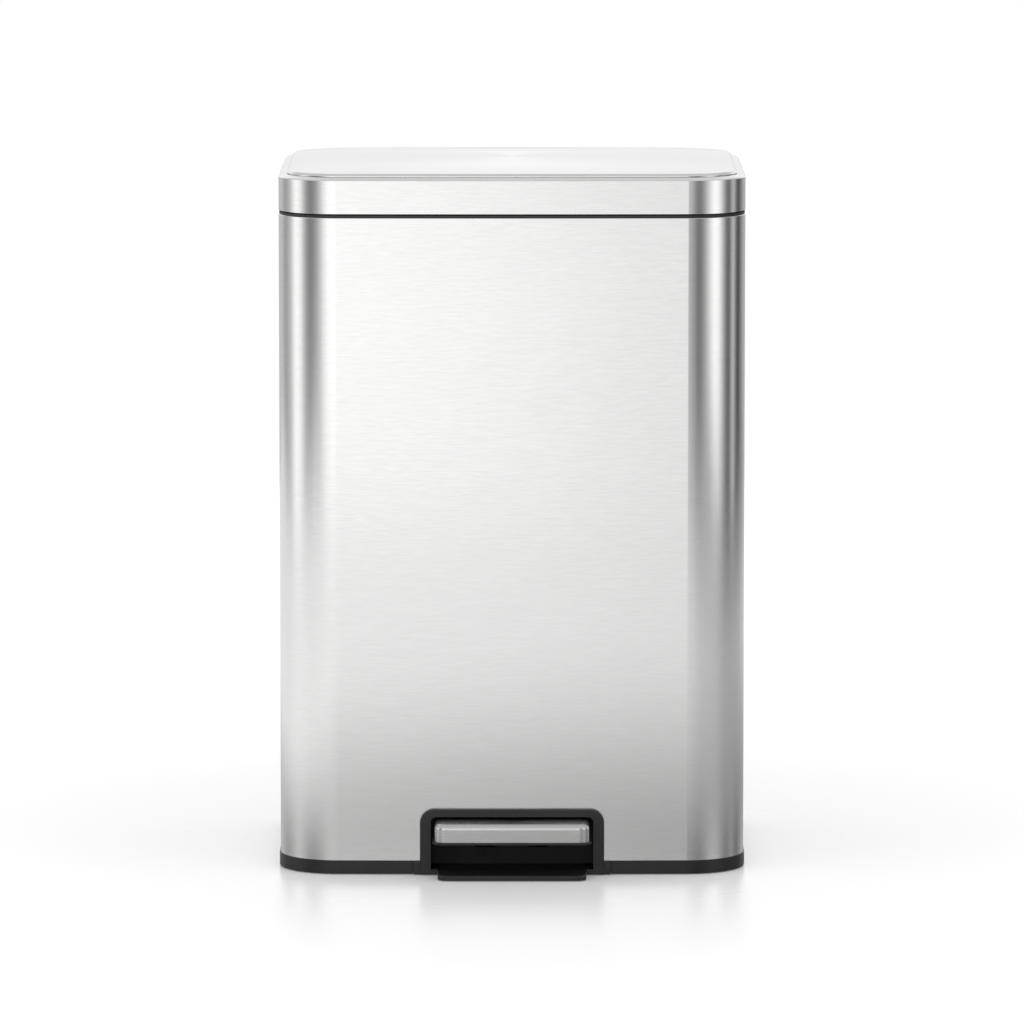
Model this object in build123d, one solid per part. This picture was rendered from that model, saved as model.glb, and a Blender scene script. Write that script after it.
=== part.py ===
from build123d import *
import math
import os

os.makedirs("parts", exist_ok=True)

# Body: a rectangular steel wrap with round corners and a slightly bowed front.
# The front faces -Y, the floor is z = 0 and the origin is under the middle.
body_width = 425.0
body_front = -152.5
body_back = 172.5
corner_radius = 54.0
front_bow = 2.8
sheet = 0.8
body_bottom = 13.0
body_top = 601.0
hem_width = 2.4
hem_height = 3.0

# Base: a plastic plinth that stands a little proud of the steel
base_flare = 1.0
base_bottom = 0.8
base_top = 12.6
floor_plate = (1.5, 4.0)
plate_rib_top = 6.0
upstand_top = 26.0
deck_plate = (59.5, 62.0)

# Foot pedal, its recess and its frame
pedal_half = 70.2
pedal_lip_half = 72.2
pedal_front = -189.0
pedal_rear = -146.0
pedal_bottom = 35.5
pedal_top = 51.5
pedal_lip = 2.5
tongue_front = -190.5
tongue_half = 67.6
tongue_top = 5.0
bezel_outer = 84.0
bezel_inner = 74.2
bezel_top = 61.0
bezel_front = -157.0
bezel_back = -152.6
well_half = 78.0
recess_half = 80.0
sill_half = 90.0
well_back = -120.5
well_top = 57.0
well_wall = 2.0

# Lid: a pressed steel skin over a plastic inner panel
lid_bottom = 604.5
band_top = 635.4
ledge_top = 637.4
ledge_width = 7.0
shadow_gap = 0.8
neck_inset = 9.8
panel_edge = 640.2
crown_top = 645.0
panel_plate = (609.0, 611.0)
# How far in from the edge, share of the crown's rise, and corner radius
crown_steps = ((9.4, 0.0, 44.6), (30, 0.5, 46), (62, 0.86, 50), (105, 1.0, 50))

# Hinge behind the back wall, with a crank that the push rod turns
hinge_y = 181.0
hinge_z = 588.0
hinge_pin_radius = 2.5
knuckle_radius = 6.5
lid_travel = 80.0
crank_radius = 30.0
crank_pin_radius = 2.5
lug_x = 48.0
housing_half = 72.0
housing_back = 190.5
housing_z = (540.0, 597.0)
housing_wall = 2.0
notch_half = 62.0
notch_bottom = 556.0
slot_bottom = 586.0

# Push rod, soft-close damper and foot lever
rod_y = 158.0
rod_radius = 3.0
damper_x = 22.0
damper_radius = 8.0
damper_z = (300.0, 430.0)
piston_rod_radius = 2.0
lever_y = -88.0
lever_z = 33.3
lever_tip = rod_y - lever_y
pivot_radius = 3.0
running_gap = 0.05
channel_half = 40.0
channel_front = 143.0
channel_z = (64.0, 555.0)

# Lift-out bucket
bucket_top_half = 194.5
bucket_top_y = (-136.5, 131.5)
bucket_bottom_half = 186.0
bucket_bottom_y = (-128.0, 123.0)
bucket_wall = 2.0
bucket_corner = (18.0, 22.0)
rim_width = 6.5
rim_z = (603.5, 606.0)
opening_gap = 1.5

# Values that follow from the sizes above
half_width = body_width / 2
bow_radius = (half_width ** 2 + front_bow ** 2) / (2 * front_bow)
half_swing = math.radians(lid_travel / 2)
crank_y = hinge_y - crank_radius * math.cos(half_swing)
crank_z = hinge_z - crank_radius * math.sin(half_swing)
rod_travel = 2 * crank_radius * math.sin(half_swing)
lever_tilt = math.degrees(math.asin(rod_travel / 2 / lever_tip))
all_min = (Align.MIN, Align.MIN, Align.MIN)
base_up = (Align.CENTER, Align.CENTER, Align.MIN)


def outline(inset=0.0, corner=None):
    """The body's plan shape, drawn in by an inset."""
    half = half_width - inset
    radius = bow_radius - inset
    side = body_front + bow_radius - math.sqrt(radius ** 2 - half ** 2)
    front = ThreePointArc((-half, side), (0, body_front + inset), (half, side))
    back = body_back - inset
    rest = Polyline((half, side), (half, back), (-half, back), (-half, side))
    face = make_face([front, rest])
    return fillet(face.vertices(), corner or corner_radius - inset)


def prism(section, low, high):
    return extrude(Pos(0, 0, low) * section, high - low)


def ring(outer, inner, low, high):
    return prism(outline(outer) - outline(inner), low, high)


def slab(x_range, y_range, z_range):
    sides = [high - low for low, high in (x_range, y_range, z_range)]
    corner = Pos(x_range[0], y_range[0], z_range[0])
    return corner * Box(*sides, align=all_min)


def mirrored_slabs(x_range, y_range, z_range):
    far_side = (-x_range[1], -x_range[0])
    return slab(x_range, y_range, z_range) + slab(far_side, y_range, z_range)


def post(x, y, low, high, radius):
    return Pos(x, y, low) * Cylinder(radius, high - low, align=base_up)


def cross_bar(y, z, left, right, radius):
    bar = Cylinder(radius, right - left, align=base_up)
    return Pos(left, y, z) * Rot(0, 90, 0) * bar


def rounded_plan(half, front, back, radius):
    middle = Pos(0, (front + back) / 2)
    return middle * RectangleRounded(2 * half, back - front, radius)


def save(name, shape):
    export_step(shape, f"parts/{name}.step")


# Steel body wrap

def body_shell():
    wall = ring(0, sheet, body_bottom, body_top)
    hem = ring(0, hem_width, body_top - hem_height, body_top)
    rim = (wall + hem).edges().filter_by_position(Axis.Z, body_top - 0.01, body_top + 0.01)
    shell = fillet(rim, 0.9)
    recess = slab((-recess_half, recess_half), (body_front - 5, body_front + 8), (0, 57.5))
    notch = slab((-notch_half, notch_half), (165, 175), (notch_bottom, 610))
    shell = shell - recess - notch
    for x, z in housing_screw_places():
        shell -= Pos(x, 165, z) * Rot(-90, 0, 0) * Cylinder(2.0, 12, align=base_up)
    return shell


# Plastic collar on top of the wrap, with the opening that takes the bucket

def opening_plan(grow=0.0):
    half = bucket_top_half + opening_gap + grow
    front = bucket_top_y[0] - opening_gap - grow
    back = bucket_top_y[1] + opening_gap + grow
    return rounded_plan(half, front, back, bucket_corner[1] + opening_gap + grow)


def top_collar():
    lip = prism(outline(0.5) - opening_plan(), 601.2, 603.2)
    skirt = ring(3.0, 5.0, 582, 601.2)
    throat = prism(opening_plan(2.0) - opening_plan(), 588, 601.2)
    collar = lip + skirt + throat
    for x in (-120, -40, 40, 120):
        collar += slab((x - 1, x + 1), (body_front + 4, bucket_top_y[0] - 2), (592, 601.2))
    for y in (-80, 0, 80):
        collar += mirrored_slabs((bucket_top_half + 2, half_width - 4), (y - 1, y + 1), (592, 601.2))
    well_sides = mirrored_slabs((58, 60), (135, 168), (582, 601.2))
    mechanism_gap = slab((-58, 58), (139, 175), (570, 610))
    return collar + well_sides - mechanism_gap


# Base: floor plate with the front tongue, and the plinth that carries the wrap

def base_plate():
    plate = prism(outline(2.6), *floor_plate)
    tongue = prism(rounded_plan(tongue_half, tongue_front, well_back, 9), base_bottom, tongue_top)
    nose = tongue.edges().group_by(Axis.Z)[-1]
    plate += chamfer(nose, 1.0)
    for y in (-60, 10, 80):
        plate += mirrored_slabs((60, 205), (y - 1, y + 1), (floor_plate[1], plate_rib_top))
    for x in (-150, -60, 60, 150):
        plate += slab((x - 1, x + 1), (-92, 160), (floor_plate[1], plate_rib_top))
    for x, y in foot_places():
        plate -= post(x, y, 0, 12, 4.05)
    for x, y in base_screw_places():
        plate += post(x, y, floor_plate[1], plate_rib_top, 6)
        plate -= post(x, y, 0, 12, 1.85)
    return plate


def plinth():
    skirt = ring(-base_flare, 2.4, base_bottom, base_top)
    edge = skirt.edges().filter_by_position(Axis.Z, base_bottom - 0.01, base_bottom + 0.01)
    skirt = chamfer(edge, 0.7)
    upstand = ring(1.1, 3.4, floor_plate[1] + 0.2, upstand_top)
    front_gap = slab((-sill_half - 0.4, sill_half + 0.4), (-160, body_front + 8), (0, 40))
    return skirt + upstand - front_gap


def foot_places():
    return [(x, y) for x in (-170, 170) for y in (-108, 138)]


def rubber_feet():
    feet = []
    for x, y in foot_places():
        pad = post(x, y, 0, floor_plate[0], 13)
        pad = chamfer(pad.edges().group_by(Axis.Z)[0], 0.5)
        feet.append(pad + post(x, y, floor_plate[0], 7, 4.0))
    return Compound(children=feet)


def base_screw_places():
    return [(x, y) for x in (-120, 120) for y in (-92, 115)]


def base_screws():
    screws = []
    for x, y in base_screw_places():
        head = post(x, y, 0.5, floor_plate[0], 3.6)
        screws.append(head + post(x, y, floor_plate[0], 22, 1.8))
    return Compound(children=screws)


# Raised deck under the bucket on two ribbed legs, so that the lever can swing below it

def bucket_deck():
    plate = prism(outline(6.0), *deck_plate)
    rear_gap = slab((-channel_half - 14, channel_half + 14), (139, 175), (20, 70))
    return plate - rear_gap


def deck_legs():
    legs = []
    for side in (-1, 1):
        span = sorted((side * 93.75, side * 96.25))
        leg = slab(span, (-112, 150), (plate_rib_top, deck_plate[0]))
        for y in (-92, 10, 115):
            reach = sorted((side * 95, side * 203))
            leg += slab(reach, (y - 1.25, y + 1.25), (26, deck_plate[0]))
        for x, y in base_screw_places():
            if x * side > 0:
                leg += post(x, y, plate_rib_top, deck_plate[0], 5)
                leg -= post(x, y, 5, 24, 1.8)
        legs.append(leg)
    return Compound(children=legs)


# Frame round the pedal recess, and the recess liner behind it

def arch(half, top, radius, front, back, low):
    """An upright block with two rounded top corners, thick in Y."""
    block = slab((-half, half), (front, back), (low, top))
    corners = block.edges().filter_by(Axis.Y).group_by(Axis.Z)[-1]
    return fillet(corners, radius)


def pedal_bezel():
    frame = arch(bezel_outer, bezel_top, 13, bezel_front, bezel_back, base_bottom)
    frame = fillet(frame.faces().sort_by(Axis.Y)[0].edges().filter_by_position(
        Axis.Z, base_bottom + 1, bezel_top + 1), 1.5)
    sleeve = arch(recess_half - 0.5, 57.0, 9, bezel_back, -147, tongue_top + 0.3)
    sill = slab((-sill_half, sill_half), (-155.5, body_front + 1.9), (base_bottom, base_top - 0.2))
    window = arch(bezel_inner, 54.0, 5, -160, -140, tongue_top + 0.5)
    foot_gap = slab((-tongue_half - 0.4, tongue_half + 0.4), (-160, -140), (0, 20))
    return frame + sleeve + sill - window - foot_gap


def pedal_well():
    outer = arch(well_half, well_top, 6, -146.8, well_back, tongue_top + 0.2)
    inner = arch(well_half - well_wall, well_top - well_wall, 4, -150, well_back - well_wall, 0)
    liner = outer - inner
    return liner - mirrored_slabs((15.5, 33.5), (-130, -110), (20.5, 44.5))


# Lift-out bucket

def bucket_section(level, inset=0.0, grow=0.0):
    share = (level - deck_plate[1]) / (rim_z[1] - deck_plate[1])
    half = bucket_bottom_half + share * (bucket_top_half - bucket_bottom_half)
    front = bucket_bottom_y[0] + share * (bucket_top_y[0] - bucket_bottom_y[0])
    back = bucket_bottom_y[1] + share * (bucket_top_y[1] - bucket_bottom_y[1])
    radius = bucket_corner[0] + share * (bucket_corner[1] - bucket_corner[0])
    change = grow - inset
    plan = rounded_plan(half + change, front - change, back + change, radius + change)
    return Pos(0, 0, level) * plan


def inner_bucket():
    low = deck_plate[1]
    outside = loft([bucket_section(low), bucket_section(rim_z[1])], ruled=True)
    floor = low + bucket_wall
    inside = loft([bucket_section(floor, bucket_wall),
                   bucket_section(rim_z[1] + 1, bucket_wall)], ruled=True)
    rim_height = rim_z[1] - rim_z[0]
    rim = Pos(0, 0, -rim_height) * extrude(bucket_section(rim_z[1], 0, rim_width), rim_height)
    bucket = outside + rim - inside
    grip = Pos(0, -5, 578) * Rot(0, 90, 0) * extrude(RectangleRounded(24, 96, 11), 230, both=True)
    return bucket - grip


# Sheet guard in front of the push rod and the damper

def rod_channel():
    outer = slab((-channel_half, channel_half), (channel_front, 171.6), channel_z)
    outer = fillet(outer.edges().filter_by(Axis.Z).group_by(Axis.Y)[0], 5)
    inner = slab((1.0 - channel_half, channel_half - 1.0), (channel_front + 1.0, 175), (60, 560))
    inner = fillet(inner.edges().filter_by(Axis.Z).group_by(Axis.Y)[0], 4)
    flange = mirrored_slabs((channel_half, channel_half + 12), (170.6, 171.6), channel_z)
    return outer - inner + flange


# Hinge: housing on the back wall, its pin and its screws

def housing_screw_places():
    return [(x, z) for x in (-66.5, 66.5) for z in (548, 572)]


def hinge_housing():
    front = body_back + 0.1
    case = slab((-housing_half, housing_half), (front, housing_back), housing_z)
    case = fillet(case.edges().filter_by(Axis.Z).group_by(Axis.Y)[-1], 6)
    back_face = case.faces().sort_by(Axis.Y)[-1]
    case = fillet(back_face.edges().filter_by(Axis.X), 4)
    wall = housing_wall
    cavity_z = (housing_z[0] + wall, housing_z[1] - wall)
    cavity = slab((wall - housing_half, housing_half - wall), (170, housing_back - wall), cavity_z)
    cavity = fillet(cavity.edges().filter_by(Axis.Z).group_by(Axis.Y)[-1], 4)
    case -= cavity
    for side in (-1, 1):
        ends = sorted((side * 60, side * (housing_half - wall / 2)))
        case += cross_bar(hinge_y, hinge_z, *ends, knuckle_radius)
    for x in (-26, 26):
        case += slab((x - 1.5, x + 1.5), (front, housing_back - 1), (542, 578))
    for x, z in housing_screw_places():
        boss = Pos(x, front, z) * Rot(-90, 0, 0) * Cylinder(3.6, 14, align=base_up)
        hole = Pos(x, front - 1, z) * Rot(-90, 0, 0) * Cylinder(1.9, 12, align=base_up)
        case = case + boss - hole
    case -= slab((-11, 11), (170, 195), (slot_bottom, 600))
    case -= mirrored_slabs((43, 53), (170, 195), (slot_bottom, 600))
    return case - cross_bar(hinge_y, hinge_z, -80, 80, hinge_pin_radius)


def hinge_pin():
    pin = cross_bar(hinge_y, hinge_z, -housing_half, housing_half, hinge_pin_radius)
    return chamfer(pin.edges().filter_by(GeomType.CIRCLE), 0.5)


def housing_screws():
    screws = []
    for x, z in housing_screw_places():
        head = Pos(x, 169.5, z) * Rot(-90, 0, 0) * Cylinder(4.0, 2.2, align=base_up)
        shank = Pos(x, 171.7, z) * Rot(-90, 0, 0) * Cylinder(1.9, 11.5, align=base_up)
        screws.append(head + shank)
    return Compound(children=screws)


# Lid: pressed skin with an edge ledge and a crowned middle, and its inner panel

def lid_form(inset, drop, low, lipped):
    """The lid's outer form with a lipped panel, or its inside, drawn in and lowered."""
    shoulder_z = band_top - 0.9 - drop
    band = prism(outline(inset), low, shoulder_z)
    shoulder = loft([Pos(0, 0, shoulder_z) * outline(inset),
                     Pos(0, 0, band_top - drop) * outline(inset + 0.9)], ruled=True)
    ledge = loft([Pos(0, 0, band_top - drop) * outline(inset + 0.9),
                  Pos(0, 0, ledge_top - drop) * outline(inset + ledge_width)], ruled=True)
    neck = prism(outline(inset + neck_inset), ledge_top - 1 - drop, panel_edge + 0.1 - drop)
    crown_rise = crown_top - panel_edge
    crown = loft([Pos(0, 0, panel_edge + share * crown_rise - drop) * outline(inset + depth, corner)
                  for depth, share, corner in crown_steps])
    form = band + shoulder + ledge + neck + crown
    if lipped:
        form += loft([Pos(0, 0, ledge_top + shadow_gap) * outline(ledge_width + 0.5),
                      Pos(0, 0, panel_edge) * outline(crown_steps[0][0])], ruled=True)
    return form


def lid_skin():
    outside = lid_form(0, 0, lid_bottom, lipped=True)
    inside = lid_form(sheet, sheet, lid_bottom - 5, lipped=False)
    return outside - inside


def lid_panel():
    wall = ring(sheet + 0.2, sheet + 2.2, panel_plate[0], 628)
    plate = prism(outline(sheet + 2.2), *panel_plate)
    panel = wall + plate
    for x in (-130, -65, 65, 130):
        panel += slab((x - 1, x + 1), (-147, 168), (panel_plate[1], 622))
    for y in (-90, -20, 50):
        panel += slab((-205, 205), (y - 1, y + 1), (panel_plate[1], 618))
    for x, y in bracket_screw_places():
        panel += post(x, y, panel_plate[1], 622, 4.5)
        panel -= post(x, y, 600, 620, 1.8)
    return panel


def lid_bumpers():
    pads = []
    for x in (-205.5, 205.5):
        for y in (-85, 105):
            pads.append(slab((x - 3, x + 3), (y - 8, y + 8), (603.5, panel_plate[0])))
    return Compound(children=pads)


# Bracket on the lid: two hinge lugs and a crank with its pin

def bracket_screw_places():
    return [(x, y) for x in (-38, -16, 16, 38) for y in (151,)]


def side_plate(left, right, corners):
    """A plate across X, with its round corners given as y, z and radius."""
    rims = [Pos(y, z) * CenterArc((0, 0), radius, 0, 360) for y, z, radius in corners]
    return Pos(left, 0, 0) * extrude(Plane.YZ * make_hull(rims), right - left)


def hinge_bracket():
    plate_z = (panel_plate[0] - 2.0, panel_plate[0])
    bracket = slab((-56, 56), (146, 166), plate_z)
    knuckle_shape = (hinge_y, hinge_z, knuckle_radius)
    lug_shape = [knuckle_shape, (158, 607.0, 2.0), (151, 607.0, 2.0)]
    crank_shape = [knuckle_shape, (crank_y, crank_z, 5.5), (160, 607.0, 2.0), (152, 607.0, 2.0)]
    for side in (-1, 1):
        lug = sorted((side * (lug_x - 1), side * (lug_x + 1)))
        knuckle = sorted((side * (lug_x - 4), side * (lug_x + 4)))
        cheek = sorted((side * 4.5, side * 6.5))
        hub = sorted((side * 4.5, side * 10))
        bracket += side_plate(*lug, lug_shape)
        bracket += cross_bar(hinge_y, hinge_z, *knuckle, knuckle_radius)
        bracket += side_plate(*cheek, crank_shape)
        bracket += cross_bar(hinge_y, hinge_z, *hub, knuckle_radius)
    bracket -= cross_bar(hinge_y, hinge_z, -60, 60, hinge_pin_radius + running_gap)
    bracket -= cross_bar(crank_y, crank_z, -10, 10, crank_pin_radius)
    for x, y in bracket_screw_places():
        bracket -= post(x, y, 600, 612, 1.9)
    bracket -= slab((-70, 70), (100, 200), (panel_plate[0], 612))
    return bracket


def crank_pin():
    pin = cross_bar(crank_y, crank_z, -6.5, 8.0, crank_pin_radius)
    head = cross_bar(crank_y, crank_z, -8.0, -6.5, 4.0)
    return pin + head


def bracket_screws():
    screws = []
    for x, y in bracket_screw_places():
        head = post(x, y, 605.0, panel_plate[0] - 2, 3.5)
        screws.append(head + post(x, y, panel_plate[0] - 2, 619, 1.8))
    return Compound(children=screws)


# Push rod with its yoke and foot, and the damper that it pulls

def push_rod():
    return post(0, rod_y, 25, 560, rod_radius)


def rod_yoke():
    slot_middle = crank_y - (crank_radius - crank_radius * math.cos(half_swing)) / 2
    slot_length = crank_radius * (1 - math.cos(half_swing)) + 2 * crank_pin_radius + 1.4
    block = slab((-4, 4), (slot_middle - 10.5, slot_middle + 10.5), (crank_z - 7.4, crank_z + 7.4))
    block = fillet(block.edges().filter_by(Axis.X), 4)
    slot = Plane.YZ * SlotOverall(slot_length, 2 * crank_pin_radius + 1.8)
    block -= Pos(0, slot_middle, crank_z) * extrude(slot, 6, both=True)
    boss = post(0, rod_y, 546, crank_z - 7.0, 4.2)
    socket = post(0, rod_y, 540, 560, rod_radius)
    slot_again = Pos(0, slot_middle, crank_z) * extrude(slot, 8, both=True)
    return block + boss - socket - slot_again


def rod_foot():
    contact = lever_z - rod_travel / 2 + 5.5 + 0.5
    foot = post(0, rod_y, contact, contact + 15, 8)
    foot = fillet(foot.edges().group_by(Axis.Z)[0], 3)
    return foot - post(0, rod_y, 25, 60, rod_radius)


def rod_guides():
    guides = []
    for low in (95, 520):
        block = slab((-9, 9), (149, 171.6), (low, low + 20))
        block = fillet(block.edges().filter_by(Axis.Z).group_by(Axis.Y)[0], 4)
        guides.append(block - post(0, rod_y, low - 1, low + 21, rod_radius + running_gap))
    return Compound(children=guides)


def damper_body():
    low, high = damper_z
    tube = post(damper_x, rod_y, low, high, damper_radius)
    tube = fillet(tube.edges().filter_by(GeomType.CIRCLE), 1.5)
    bore = post(damper_x, rod_y, low + 6, high - 6, damper_radius - 2)
    return tube - bore - post(damper_x, rod_y, low + 6, high + 1, piston_rod_radius + running_gap)


def damper_rod():
    rod = post(damper_x, rod_y, damper_z[0] + 18, 482, piston_rod_radius)
    return rod + post(damper_x, rod_y, damper_z[0] + 14, damper_z[0] + 20, damper_radius - 2.1)


def damper_link():
    plan = make_hull([Pos(0, rod_y) * CenterArc((0, 0), 7, 0, 360),
                      Pos(damper_x, rod_y) * CenterArc((0, 0), 6, 0, 360)])
    link = prism(plan, 472, 478)
    return link - post(0, rod_y, 470, 480, rod_radius) - post(damper_x, rod_y, 470, 480, piston_rod_radius)


def damper_clamp():
    block = slab((damper_x - 11, damper_x + 11), (147.5, 171.6), (350, 372))
    block = fillet(block.edges().filter_by(Axis.Z).group_by(Axis.Y)[0], 6)
    return block - post(damper_x, rod_y, 340, 380, damper_radius)


# Foot lever: a pressed fork that turns on a pin above the floor plate

def lever_place():
    return Pos(0, lever_y, lever_z) * Rot(-lever_tilt, 0, 0)


def lever_plan():
    """Two prongs to the pedal, a bridge at the pin and a tail to the rod."""
    prong_tip = -84
    bridge = (-16, 9)
    tail_tip = lever_tip + 8
    points = [(32, prong_tip), (32, bridge[1]), (9, tail_tip), (-9, tail_tip), (-32, bridge[1]),
              (-32, prong_tip), (-17, prong_tip), (-17, bridge[0]), (17, bridge[0]), (17, prong_tip)]
    face = make_face(Polyline(*points, close=True))
    return fillet(face.vertices(), 3)


def pedal_lever():
    plan = lever_plan()
    channel = prism(plan, -7, 5.5) - prism(offset(plan, -2.5), -8, 3)
    bore = cross_bar(0, 0, -40, 40, pivot_radius + running_gap)
    channel -= bore
    for x, y in pedal_screw_places():
        channel -= post(x, y, 2, 7, 1.9)
    return lever_place() * channel


def pivot_blocks():
    blocks = []
    for side in (-1, 1):
        ends = sorted((side * 33.6, side * 41.6))
        block = slab(ends, (lever_y - 12, lever_y + 12), (floor_plate[1], lever_z + 9))
        block = fillet(block.edges().filter_by(Axis.X).group_by(Axis.Z)[-1], 7)
        block += slab(ends, (lever_y - 16, lever_y + 16), (floor_plate[1], 9))
        blocks.append(block - cross_bar(lever_y, lever_z, -50, 50, pivot_radius))
    return Compound(children=blocks)


def pivot_pin():
    pin = cross_bar(lever_y, lever_z, -43, 43, pivot_radius)
    return chamfer(pin.edges().filter_by(GeomType.CIRCLE), 0.6)


def pivot_washers():
    washers = []
    for side in (-1, 1):
        ends = sorted((side * 32.3, side * 33.3))
        disc = cross_bar(lever_y, lever_z, *ends, 6.5)
        washers.append(disc - cross_bar(lever_y, lever_z, -50, 50, pivot_radius))
    return Compound(children=washers)


def lever_buffer():
    pad = slab((-14, 14), (140, 158), (floor_plate[1], 6.4))
    return fillet(pad.edges().group_by(Axis.Z)[-1], 0.8)


# Pedal: a steel cap over a plastic tread that the lever's prongs carry

def cap_form(inset):
    front = pedal_front + inset
    plan = slab((inset - pedal_half, pedal_half - inset), (front, pedal_rear),
                (pedal_bottom, pedal_top - inset))
    body = fillet(plan.edges().filter_by(Axis.Z).group_by(Axis.Y)[0], 9 - inset)
    top = body.faces().sort_by(Axis.Z)[-1].edges()
    outer = top.filter_by(lambda edge: edge.center().Y < pedal_rear - 0.1)
    return fillet(outer, 4.5 - inset)


def pedal_cap():
    return cap_form(0) - cap_form(1.0)


def pedal_screw_places():
    return [(x, y) for x in (-24.5, 24.5) for y in (-76, -64)]


def pedal_tread():
    lip_plan = slab((-pedal_lip_half, pedal_lip_half), (tongue_front, pedal_rear),
                    (pedal_bottom - pedal_lip, pedal_bottom))
    lip = fillet(lip_plan.edges().filter_by(Axis.Z).group_by(Axis.Y)[0], 11)
    lip = fillet(lip.edges().group_by(Axis.Z)[0], 0.8)
    pocket = lever_place() * slab((-66, 66), (-96, -40), (-20, 5.5))
    tread = lip + cap_form(1.0) - pocket
    for x in (-45, 0, 45):
        rib = slab((x - 1, x + 1), (-186, -148), (36, 48))
        tread += rib & cap_form(1.5)
    for x, y in pedal_screw_places():
        tread -= lever_place() * post(x, y, 0, 9.5, 1.8)
    return tread


def pedal_screws():
    screws = []
    for x, y in pedal_screw_places():
        head = post(x, y, 1.0, 3.0, 3.4)
        screws.append(lever_place() * (head + post(x, y, 3.0, 9.0, 1.8)))
    return Compound(children=screws)


nodes = (
    body_shell, top_collar, base_plate, plinth, rubber_feet, base_screws, bucket_deck, deck_legs,
    pedal_bezel, pedal_well, inner_bucket, rod_channel, hinge_housing, hinge_pin, housing_screws,
    lid_skin, lid_panel, lid_bumpers, hinge_bracket, crank_pin, bracket_screws, push_rod, rod_yoke,
    rod_foot, rod_guides, damper_body, damper_rod, damper_link, damper_clamp, pedal_lever,
    pivot_blocks, pivot_pin, pivot_washers, lever_buffer, pedal_cap, pedal_tread, pedal_screws,
)
for build_node in nodes:
    save(build_node.__name__, build_node())

print("crank pin at y, z", round(crank_y, 2), round(crank_z, 2))
print("rod travel", round(rod_travel, 3), "lever swing", round(2 * lever_tilt, 3))
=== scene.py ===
import bpy
import math
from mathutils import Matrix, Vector


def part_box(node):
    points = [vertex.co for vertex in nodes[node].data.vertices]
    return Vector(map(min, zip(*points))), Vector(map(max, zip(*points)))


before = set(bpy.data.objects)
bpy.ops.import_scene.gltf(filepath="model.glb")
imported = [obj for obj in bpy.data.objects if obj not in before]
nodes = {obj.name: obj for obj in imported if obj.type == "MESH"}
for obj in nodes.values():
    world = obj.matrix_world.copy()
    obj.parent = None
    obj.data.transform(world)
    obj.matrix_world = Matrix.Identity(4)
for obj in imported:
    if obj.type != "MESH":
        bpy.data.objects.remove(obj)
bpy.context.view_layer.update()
print("frame loaded")


# Small helpers for node trees. A value is a number, a tuple or another node's output
def feed(tree, node, values):
    for key, value in values.items():
        socket = node.inputs[key]
        if isinstance(value, bpy.types.NodeSocket):
            tree.links.new(value, socket)
        elif socket.type == "RGBA":
            socket.default_value = (*value, 1.0)
        else:
            socket.default_value = value


def addNode(tree, kind, values=None, **settings):
    node = tree.nodes.new(kind)
    for key, value in settings.items():
        setattr(node, key, value)
    feed(tree, node, values or {})
    return node


def mathNode(tree, operation, *values):
    node = addNode(tree, "ShaderNodeMath", dict(enumerate(values)), operation=operation)
    return node.outputs[0]


def rangeNode(tree, value, taken, given=(0.0, 1.0)):  # maps the pair taken to the pair given
    node = addNode(tree, "ShaderNodeMapRange", dict(enumerate((value, *taken, *given))))
    return node.outputs[0]


mixSlots = {"FLOAT": (2, 3, 0), "RGBA": (6, 7, 2)}  # a Mix node's two inputs and its output, by kind


def mixNode(tree, kind, factor, first, second):
    firstSlot, secondSlot, result = mixSlots[kind]
    values = {0: factor, firstSlot: first, secondSlot: second}
    return addNode(tree, "ShaderNodeMix", values, data_type=kind).outputs[result]


def noiseAt(tree, coords, stretch, scale, detail, roughness):
    mapping = addNode(tree, "ShaderNodeMapping", {"Vector": coords, "Scale": stretch})
    noise = addNode(tree, "ShaderNodeTexNoise", {
        "Vector": mapping.outputs[0], "Scale": scale, "Detail": detail, "Roughness": roughness})
    return noise.outputs["Fac"]


def objectCoords(tree):
    return addNode(tree, "ShaderNodeTexCoord").outputs["Object"]


# Shared effects, each one a group that several finishes use
def startGroup(name, inputs, outputs):
    group = bpy.data.node_groups.new(name, "ShaderNodeTree")
    for label, value in inputs.items():
        socket = group.interface.new_socket(label, in_out="INPUT", socket_type="NodeSocketFloat")
        socket.default_value = value
    for label in outputs:
        group.interface.new_socket(label, in_out="OUTPUT", socket_type="NodeSocketFloat")
    return group, group.nodes.new("NodeGroupInput"), group.nodes.new("NodeGroupOutput")


def placeGroup(tree, group, values):
    return addNode(tree, "ShaderNodeGroup", values, node_tree=group)


brushing = {
    "fineness": 1.0,
    "upright": {"stretch": (75.0, 75.0, 800.0), "scale": 1.0, "detail": 3.0, "roughness": 0.6},
    "lying": {"stretch": (75.0, 800.0, 800.0), "scale": 1.0, "detail": 3.0, "roughness": 0.6},
    "lyingFrom": 0.6,  # a face whose normal is more upright than this has the lying grain
    "cloud": {"stretch": (1.0, 1.0, 1.6), "scale": 5.0, "detail": 3.0, "roughness": 0.5},
}


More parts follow.
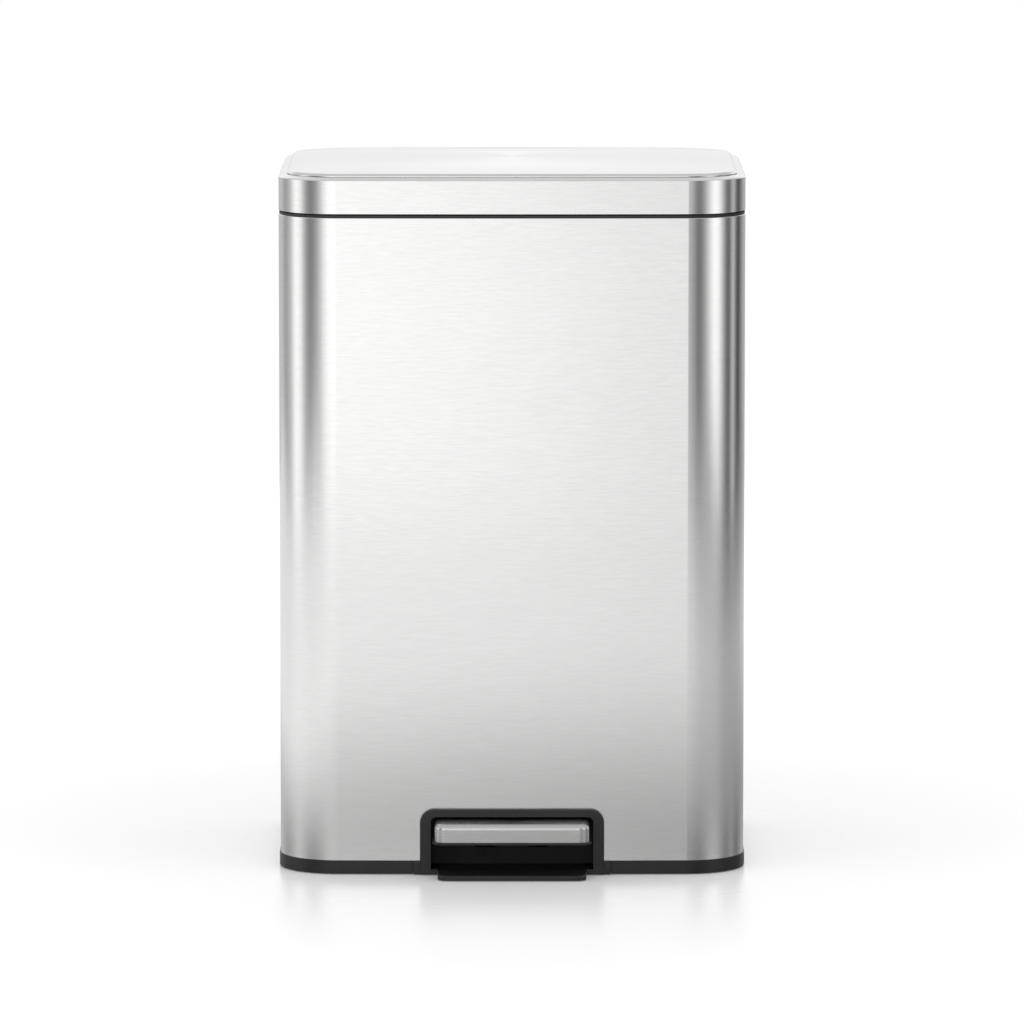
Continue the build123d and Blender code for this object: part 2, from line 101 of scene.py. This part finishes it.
def makeGrainGroup():
    inputs = {"Fineness": brushing["fineness"]}
    group, entry, leave = startGroup("brushedGrain", inputs, ["Streak", "Cloud"])
    coords = objectCoords(group)
    scaled = addNode(group, "ShaderNodeVectorMath", operation="SCALE")
    feed(group, scaled, {0: coords, "Scale": entry.outputs["Fineness"]})
    upright = noiseAt(group, scaled.outputs[0], **brushing["upright"])
    lying = noiseAt(group, scaled.outputs[0], **brushing["lying"])
    normal = addNode(group, "ShaderNodeNewGeometry").outputs["Normal"]
    parts = addNode(group, "ShaderNodeSeparateXYZ", {0: normal})
    upward = mathNode(group, "ABSOLUTE", parts.outputs[2])
    level = mathNode(group, "GREATER_THAN", upward, brushing["lyingFrom"])
    streak = mixNode(group, "FLOAT", level, upright, lying)
    feed(group, leave, {"Streak": streak, "Cloud": noiseAt(group, coords, **brushing["cloud"])})
    return group


edgeRub = {
    "width": 0.0008,
    "breakup": 60.0,
    "samples": 4,
    "cosine": (0.995, 0.8),  # between the bevelled and the true normal: no rub, and full rub
    "detail": 3.0,
    "noise": (0.35, 0.65),
    "left": (0.25, 1.0),  # share of the rub that the noise leaves
}


def makeEdgeGroup():
    inputs = {"Width": edgeRub["width"], "Breakup": edgeRub["breakup"]}
    group, entry, leave = startGroup("edgeWear", inputs, ["Mask"])
    bevel = addNode(group, "ShaderNodeBevel", {"Radius": entry.outputs["Width"]}, samples=edgeRub["samples"])
    normal = addNode(group, "ShaderNodeNewGeometry").outputs["Normal"]
    dot = addNode(group, "ShaderNodeVectorMath", operation="DOT_PRODUCT")
    feed(group, dot, {0: bevel.outputs[0], 1: normal})
    edge = rangeNode(group, dot.outputs["Value"], edgeRub["cosine"])
    noise = addNode(group, "ShaderNodeTexNoise", {
        "Vector": objectCoords(group), "Scale": entry.outputs["Breakup"], "Detail": edgeRub["detail"]})
    broken = rangeNode(group, noise.outputs["Fac"], edgeRub["noise"], edgeRub["left"])
    feed(group, leave, {"Mask": mathNode(group, "MULTIPLY", edge, broken)})
    return group


mouldTexture = {
    "pebbles": 900.0,
    "pebbleShare": 0.6,
    "soft": {"stretch": (1.0, 1.0, 1.0), "scale": 700.0, "detail": 2.0, "roughness": 0.55},
    "scuff": {"stretch": (1.0, 1.0, 1.0), "scale": 35.0, "detail": 5.0, "roughness": 0.65},
    "scuffSpan": (0.45, 0.75),
}


def makeMouldGroup():
    group, entry, leave = startGroup("mouldedSkin", {"Scale": mouldTexture["pebbles"]}, ["Height", "Scuff"])
    coords = objectCoords(group)
    pebble = addNode(group, "ShaderNodeTexVoronoi", {"Vector": coords, "Scale": entry.outputs["Scale"]})
    soft = noiseAt(group, coords, **mouldTexture["soft"])
    distance = pebble.outputs["Distance"]
    height = mathNode(group, "MULTIPLY_ADD", distance, mouldTexture["pebbleShare"], soft)
    scuff = noiseAt(group, coords, **mouldTexture["scuff"])
    feed(group, leave, {"Height": height, "Scuff": rangeNode(group, scuff, mouldTexture["scuffSpan"])})
    return group


grainGroup = makeGrainGroup()
edgeGroup = makeEdgeGroup()
mouldGroup = makeMouldGroup()
print("shared effects done")


def startMaterial(name):
    material = bpy.data.materials.new(name)
    material.use_nodes = True
    return material, material.node_tree, material.node_tree.nodes["Principled BSDF"]


def brushedSteel(name, look):
    material, tree, shader = startMaterial(name)
    grain = placeGroup(tree, grainGroup, {"Fineness": look["fineness"]})
    wear = placeGroup(tree, edgeGroup, {"Width": look["edgeWidth"], "Breakup": look["edgeBreakup"]})
    streak = grain.outputs["Streak"]
    tone = mixNode(tree, "RGBA", streak, look["dark"], look["light"])
    bump = addNode(tree, "ShaderNodeBump", {
        "Strength": look["bump"], "Distance": look["bumpDepth"], "Height": streak})
    tangent = addNode(tree, "ShaderNodeTangent", direction_type="RADIAL", axis="Z")
    feed(tree, shader, {
        "Base Color": mixNode(tree, "RGBA", wear.outputs["Mask"], tone, look["edge"]),
        "Metallic": 1.0,
        "Roughness": rangeNode(tree, grain.outputs["Cloud"], look["cloudSpan"], look["roughness"]),
        "Anisotropic": look["anisotropic"],
        "Tangent": tangent.outputs[0],
        "Normal": bump.outputs[0],
    })
    return material


bodySteelLook = {
    "dark": (0.755, 0.755, 0.75),
    "light": (0.885, 0.885, 0.88),
    "edge": (0.93, 0.93, 0.92),
    "edgeWidth": 0.0008,
    "edgeBreakup": 90.0,
    "fineness": 1.0,
    "cloudSpan": (0.1, 0.9),
    "roughness": (0.17, 0.21),
    "anisotropic": 0.6,
    "bump": 0.06,
    "bumpDepth": 0.0002,
}
lidSteelLook = dict(bodySteelLook, roughness=(0.18, 0.22), bump=0.05)
pedalSteelLook = dict(
    bodySteelLook,
    dark=(0.58, 0.58, 0.575),
    light=(0.72, 0.72, 0.715),
    roughness=(0.25, 0.31),
    bump=0.08,
    anisotropic=0.3,
    edgeWidth=0.0005,
)
platedSteelLook = dict(
    bodySteelLook,
    dark=(0.52, 0.53, 0.54),
    light=(0.62, 0.63, 0.64),
    bump=0.02,
    fineness=0.4,
    anisotropic=0.0,
)


def mouldedPlastic(name, look):
    material, tree, shader = startMaterial(name)
    skin = placeGroup(tree, mouldGroup, {"Scale": look["grain"]})
    wear = placeGroup(tree, edgeGroup, {"Width": look["edgeWidth"], "Breakup": look["edgeBreakup"]})
    scuff = skin.outputs["Scuff"]
    scuffed = mixNode(tree, "RGBA", scuff, look["colour"], look["scuff"])
    bump = addNode(tree, "ShaderNodeBump", {
        "Strength": look["bump"], "Distance": look["bumpDepth"], "Height": skin.outputs["Height"]})
    feed(tree, shader, {
        "Base Color": mixNode(tree, "RGBA", wear.outputs["Mask"], scuffed, look["edge"]),
        "Roughness": rangeNode(tree, scuff, (0.0, 1.0), look["roughness"]),
        "Normal": bump.outputs[0],
    })
    return material


blackPlasticLook = {
    "colour": (0.012, 0.0125, 0.014),
    "scuff": (0.020, 0.020, 0.022),
    "edge": (0.045, 0.045, 0.047),
    "edgeWidth": 0.0006,
    "edgeBreakup": 140.0,
    "grain": 1100.0,
    "roughness": (0.36, 0.48),
    "bump": 0.12,
    "bumpDepth": 0.0003,
}
# Painted shade: the pedal recess gets the black plastic made darker still, for the shade that falls inside it
recessShadeLook = dict(
    blackPlasticLook,
    colour=(0.004, 0.004, 0.005),
    scuff=(0.007, 0.007, 0.008),
    edge=(0.02, 0.02, 0.022),
    roughness=(0.55, 0.7),
)
innerPlasticLook = dict(blackPlasticLook, colour=(0.06, 0.062, 0.066), scuff=(0.085, 0.086, 0.09))
bucketLook = dict(
    blackPlasticLook,
    colour=(0.12, 0.123, 0.128),
    scuff=(0.16, 0.162, 0.166),
    edge=(0.22, 0.22, 0.225),
)
nylonLook = dict(
    blackPlasticLook,
    colour=(0.7, 0.69, 0.64),
    scuff=(0.6, 0.59, 0.55),
    edge=(0.8, 0.79, 0.75),
    bump=0.05,
)
damperLook = dict(
    blackPlasticLook,
    colour=(0.2, 0.205, 0.215),
    scuff=(0.26, 0.26, 0.27),
    edge=(0.35, 0.35, 0.36),
)
rubberLook = dict(
    blackPlasticLook,
    colour=(0.02, 0.02, 0.02),
    scuff=(0.045, 0.044, 0.042),
    roughness=(0.68, 0.85),
    grain=700.0,
)

finishes = {
    brushedSteel("bodySteel", bodySteelLook): ["body_shell"],
    brushedSteel("lidSteel", lidSteelLook): ["lid_skin"],
    brushedSteel("pedalSteel", pedalSteelLook): ["pedal_cap"],
    brushedSteel("platedSteel", platedSteelLook): [
        "rod_channel", "hinge_pin", "housing_screws", "base_screws", "bracket_screws", "hinge_bracket",
        "crank_pin", "push_rod", "pedal_lever", "pivot_pin", "pedal_screws", "damper_rod"],
    mouldedPlastic("blackPlastic", blackPlasticLook): [
        "top_collar", "base_plate", "plinth", "pedal_bezel", "hinge_housing", "pedal_tread"],
    # the pedal recess: black plastic darkened with painted shade
    mouldedPlastic("recessShadedPlastic", recessShadeLook): ["pedal_well"],
    mouldedPlastic("innerPlastic", innerPlasticLook): ["bucket_deck", "deck_legs", "lid_panel"],
    mouldedPlastic("bucketPlastic", bucketLook): ["inner_bucket"],
    mouldedPlastic("nylon", nylonLook): [
        "rod_yoke", "rod_foot", "rod_guides", "pivot_washers", "pivot_blocks", "damper_link", "damper_clamp"],
    mouldedPlastic("damperPlastic", damperLook): ["damper_body"],
    mouldedPlastic("rubber", rubberLook): ["rubber_feet", "lid_bumpers", "lever_buffer"],
}
for material, names in finishes.items():
    for name in names:
        piece = nodes[name]
        piece.data.materials.clear()
        piece.data.materials.append(material)
print("finishes done")


# Studio. Only glossy rays see the bands, the rear wall and the overhead level: their brightness was set until
# the steel showed about the light and dark tones that were measured in the photograph
surround = {
    "background": 1.0,  # what the camera sees
    "diffuse": 0.82,  # an even level for matt surfaces
    "overhead": 0.66,
    "overheadRise": (0.35, 0.75),  # how far up a ray points where the overhead level sets in and is full
    "rear": 1.02,  # the bright wall behind, which the lid's top shows
    "rearTurn": (130, 150),  # degrees from the front, on either side
    "rearRise": (0.0, 0.06),
    "bands": (  # degrees from the front, to the right, and the brightness there
        (-180, 0.60), (-140, 0.60), (-122, 0.34), (-106, 0.52), (-89, 1.28), (-80, 1.15), (-63, 0.30),
        (-54, 0.12), (-45, 0.25), (-36, 0.50), (-26, 1.05), (-16, 1.32), (-4, 1.31), (4, 1.04), (8, 0.60),
        (13, 0.30), (24, 0.08), (31, 0.20), (39, 0.50), (48, 1.0), (56, 1.35), (66, 1.20), (76, 0.50),
        (84, 0.12), (92, 0.0), (104, 0.78), (113, 0.10), (122, 0.0), (136, 0.32), (150, 0.50), (180, 0.60)),
}


def buildBands(tree, turn):
    levels = surround["bands"]
    peak = max(level for _, level in levels)
    share = rangeNode(tree, turn, (-math.pi, math.pi))
    ramp = addNode(tree, "ShaderNodeValToRGB", {0: share})
    ramp.color_ramp.interpolation = "EASE"
    stops = ramp.color_ramp.elements
    for index, (degrees, level) in enumerate(levels):
        place = (degrees + 180) / 360
        stop = stops[index] if index < 2 else stops.new(place)  # a new ramp has two stops already
        stop.position = place
        stop.color = (level / peak,) * 3 + (1.0,)
    return mathNode(tree, "MULTIPLY", ramp.outputs[0], peak)


def buildWorld():
    world = bpy.data.worlds.new("studio")
    bpy.context.scene.world = world
    world.use_nodes = True
    tree = world.node_tree
    tree.nodes.clear()
    direction = addNode(tree, "ShaderNodeTexCoord").outputs["Generated"]
    right, back, up = addNode(tree, "ShaderNodeSeparateXYZ", {0: direction}).outputs
    turn = mathNode(tree, "ARCTAN2", right, mathNode(tree, "MULTIPLY", back, -1.0))
    bands = buildBands(tree, turn)
    rearTurn = [math.radians(degrees) for degrees in surround["rearTurn"]]
    behind = rangeNode(tree, mathNode(tree, "ABSOLUTE", turn), rearTurn)
    raised = rangeNode(tree, up, surround["rearRise"])
    inRear = mathNode(tree, "MULTIPLY", behind, raised)
    walls = mixNode(tree, "FLOAT", inRear, bands, surround["rear"])
    above = rangeNode(tree, up, surround["overheadRise"])
    glossy = mixNode(tree, "FLOAT", above, walls, surround["overhead"])
    path = addNode(tree, "ShaderNodeLightPath").outputs
    shown = mixNode(tree, "FLOAT", path["Is Glossy Ray"], surround["diffuse"], glossy)
    direct = mathNode(tree, "MAXIMUM", path["Is Camera Ray"], path["Is Transmission Ray"])
    strength = mixNode(tree, "FLOAT", direct, shown, surround["background"])
    light = addNode(tree, "ShaderNodeBackground", {"Color": (1.0, 1.0, 1.0), "Strength": strength})
    addNode(tree, "ShaderNodeOutputWorld", {0: light.outputs[0]})


floorLook = {
    "size": 5.6,
    "tone": 0.92,
    "specular": 0.3,
    "roughness": (0.22, 0.6),  # close to the bin and far from it
    "roughReach": (0.25, 0.75),  # metres from the bin's middle
    "glowWithPaintedShade": (0.10, 0.30),  # glow added for the camera alone, close to the bin and far from it: it whitens the floor, and its lower level near the bin paints a darker shade there
    "paintedShadeInSteel": (0.36, 1.0),  # the floor tone that glossy rays get instead, close to the bin and far from it: painted shade, darker near the bin, which the steel shows low down
    "reach": (0.35, 1.6),  # metres from the bin's middle, for the camera glow and for the painted shade in the steel
    "paintedShadeRightFall": 0.30,  # how much that tone in the steel falls with each metre to the right: painted shade, darker towards the right
    "paintedShadeLimits": (0.1, 1.0),
}


def buildFloor():
    half = floorLook["size"] / 2
    corners = [(-half, -half, 0), (half, -half, 0), (half, half, 0), (-half, half, 0)]
    mesh = bpy.data.meshes.new("floor")
    mesh.from_pydata(corners, [], [(0, 1, 2, 3)])
    floor = bpy.data.objects.new("floor", mesh)
    bpy.context.scene.collection.objects.link(floor)
    material, tree, shader = startMaterial("paleFloor")
    coords = objectCoords(tree)
    distance = addNode(tree, "ShaderNodeVectorMath", {0: coords}, operation="LENGTH").outputs["Value"]
    toRight = addNode(tree, "ShaderNodeSeparateXYZ", {0: coords}).outputs[0]
    # Painted shade: the floor's tone for glossy rays is darker close to the bin and towards the right, so the
    # steel shows a darker floor there
    paintedShadeByReach = rangeNode(tree, distance, floorLook["reach"], floorLook["paintedShadeInSteel"])
    paintedShadeWithRight = mathNode(tree, "MULTIPLY_ADD", toRight, -floorLook["paintedShadeRightFall"], paintedShadeByReach)
    least, most = floorLook["paintedShadeLimits"]
    paintedShadeInSteel = mathNode(tree, "MINIMUM", mathNode(tree, "MAXIMUM", paintedShadeWithRight, least), most)
    path = addNode(tree, "ShaderNodeLightPath").outputs
    # Glow for the camera alone: white far off and weaker near the bin, which paints shade around the bin
    glowWithPaintedShade = rangeNode(tree, distance, floorLook["reach"], floorLook["glowWithPaintedShade"])
    feed(tree, shader, {
        "Base Color": mixNode(tree, "FLOAT", path["Is Glossy Ray"], floorLook["tone"], paintedShadeInSteel),
        "Roughness": rangeNode(tree, distance, floorLook["roughReach"], floorLook["roughness"]),
        "Specular IOR Level": floorLook["specular"],
        "Emission Color": (1.0, 1.0, 1.0),
        "Emission Strength": mathNode(tree, "MULTIPLY", path["Is Camera Ray"], glowWithPaintedShade),
    })
    mesh.materials.append(material)


lamps = {
    "topSoftbox": {"place": (0.3, -0.6, 3.2), "aim": (0, 0, 0.2), "size": 2.6, "power": 22},
    "leftFill": {"place": (-2.4, -1.8, 1.6), "aim": (0, 0, 0.3), "size": 1.8, "power": 8},
}


def buildLamps():
    for name, lamp in lamps.items():
        data = bpy.data.lights.new(name, "AREA")
        data.shape = "SQUARE"
        data.size = lamp["size"]
        data.energy = lamp["power"]
        light = bpy.data.objects.new(name, data)
        light.location = lamp["place"]
        aim = Vector(lamp["aim"]) - light.location
        light.rotation_euler = aim.to_track_quat("-Z", "Y").to_euler()
        light.visible_glossy = False
        bpy.context.scene.collection.objects.link(light)


cameraPlace = {
    "ahead": 7.0,  # metres in front of the body
    "height": 1.20,
    "pitch": 7.056,  # degrees downward
    "lens": 273.23,
    "sensor": 36.0,
    "clipEnd": 200.0,
}


def buildCamera():
    data = bpy.data.cameras.new("camera")
    data.lens = cameraPlace["lens"]
    data.sensor_width = cameraPlace["sensor"]
    data.clip_end = cameraPlace["clipEnd"]
    camera = bpy.data.objects.new("camera", data)
    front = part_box("body_shell")[0].y
    camera.location = (0.0, front - cameraPlace["ahead"], cameraPlace["height"])
    camera.rotation_euler = (math.radians(90 - cameraPlace["pitch"]), 0, 0)
    bpy.context.scene.collection.objects.link(camera)
    bpy.context.scene.camera = camera


buildWorld()
buildFloor()
buildLamps()
buildCamera()
bpy.context.scene.view_settings.view_transform = "Standard"
print("studio done")
